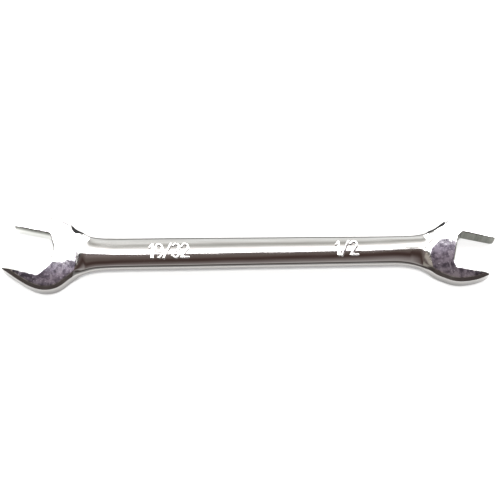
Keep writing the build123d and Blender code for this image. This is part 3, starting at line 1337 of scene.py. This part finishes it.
past_edge = room.between(angle, panel_edge - edge_softening, panel_edge + edge_softening)
overhead = room.between(angle, overhead_edge - overhead_softening, overhead_edge + overhead_softening)
not_overhead = room.between(angle, overhead_edge + overhead_softening, overhead_edge - overhead_softening)
wider = room.reckon("MULTIPLY", room.between(aside, *wider_aside), room.between(angle, *wider_above))
light = room.mix(wider, colours_by_angle(angle, behind), wider_colour)
light = room.mix(past_edge, light, colours_by_angle(angle, beside))
light = room.mix(overhead, light, colours_by_angle(slanted, before))
at_window = room.reckon("MULTIPLY", room.between(x, *window_reach), past_edge)
light = room.mix(at_window, light, colours_by_angle(angle, window))
ends = room.reckon("MAXIMUM", room.between(x, *left_end_reach), room.between(x, *right_end_reach))
ends = room.reckon("MULTIPLY", room.reckon("MULTIPLY", ends, past_edge), not_overhead)
light = room.mix(ends, light, end_colour)
room.put(room.tree.nodes["Background"].inputs["Color"], light)
print("nodes of the room:", len(room.tree.nodes))

# %% [markdown]
# A sheet of white paper gives the plain background. For the camera's rays, and those that chrome sends
# back, a quarter of pure white is mixed into it. So the paper comes out white in the picture without more
# light on the wrench, and it still shows the wrench's shadow.

# %% The floor
paper_colour = (0.9, 0.9, 0.9, 1)
paper_glow = 0.25
paper_half_size = 2


def floor_paper():
    """White paper that mixes in an even white where a ray is the camera's, a mirror's or a glass's."""
    finish = Finish("floor_paper")
    finish.set_shader(Base_Color=paper_colour, Roughness=0.8)
    ray = finish.add("ShaderNodeLightPath").outputs
    white = finish.add("ShaderNodeEmission", Color=(1, 1, 1, 1), Strength=1.0)
    glossy = finish.reckon("MAXIMUM", ray["Is Camera Ray"], ray["Is Glossy Ray"])
    either = finish.reckon("MAXIMUM", glossy, ray["Is Transmission Ray"])
    both = finish.add("ShaderNodeMixShader")
    finish.put(both.inputs[0], finish.reckon("MULTIPLY", either, paper_glow))
    finish.put(both.inputs[1], finish.shader.outputs["BSDF"])
    finish.put(both.inputs[2], white.outputs["Emission"])
    finish.put(finish.tree.nodes["Material Output"].inputs["Surface"], both.outputs["Shader"])
    return finish.material


corners = np.array([(-1, -1, 0), (1, -1, 0), (1, 1, 0), (-1, 1, 0)]) * paper_half_size
floor_mesh = bpy.data.meshes.new("floor")
floor_mesh.from_pydata(corners.tolist(), [], [(0, 1, 2, 3)])
floor = bpy.data.objects.new("floor", floor_mesh)
bpy.context.scene.collection.objects.link(floor)
floor.data.materials.append(floor_paper())
print("floor:", 2 * paper_half_size, "m square")

# %% [markdown]
# One soft lamp hangs over the table, a little to the near side, and lights the paper. It gives the wrench a
# soft shadow. Chrome would show it as a small bright square, so mirrors don't see it: the room does that
# work.

# %% The lamp
lamp = bpy.data.objects.new("overhead_lamp", bpy.data.lights.new("overhead_lamp", "AREA"))
lamp.data.size = 0.4
lamp.data.energy = 13.5
lamp.location = (0, -0.15, 1.18)
lamp.rotation_euler = (-np.arctan2(lamp.location.y, lamp.location.z), 0, 0)
lamp.visible_glossy = False
bpy.context.scene.collection.objects.link(lamp)
print("lamp:", lamp.data.energy, "watts,", round(lamp.location.z, 2), "m up")

# %% [markdown]
# The photo looks down on the wrench from the near side, steeply enough to see into both mouths. The
# camera's place and lens were chosen so that the wrench's known corners fall where the photo has them. The
# lens is given by its length in pixels of a picture 500 pixels wide, and Blender wants it in millimetres of
# its sensor.

# %% The camera
sensor_width = 36
picture_width = 500
lens_in_pixels = 1146
camera_place, camera_aim = Vector((-2.0, -153.0, 365.3)) * mm, Vector((0.12, 0.86, 2.8)) * mm

camera = bpy.data.objects.new("camera", bpy.data.cameras.new("camera"))
bpy.context.scene.collection.objects.link(camera)
camera.location = camera_place
camera.rotation_euler = (camera_aim - camera_place).to_track_quat("-Z", "Y").to_euler()
camera.data.sensor_width = sensor_width
camera.data.lens = sensor_width * lens_in_pixels / picture_width
bpy.context.scene.camera = camera
bpy.context.scene.view_settings.view_transform = "Standard"
away = (camera_aim - camera_place).length
print("camera:", round(away, 3), "m away, lens", round(camera.data.lens, 1), "mm")

# %% [markdown]
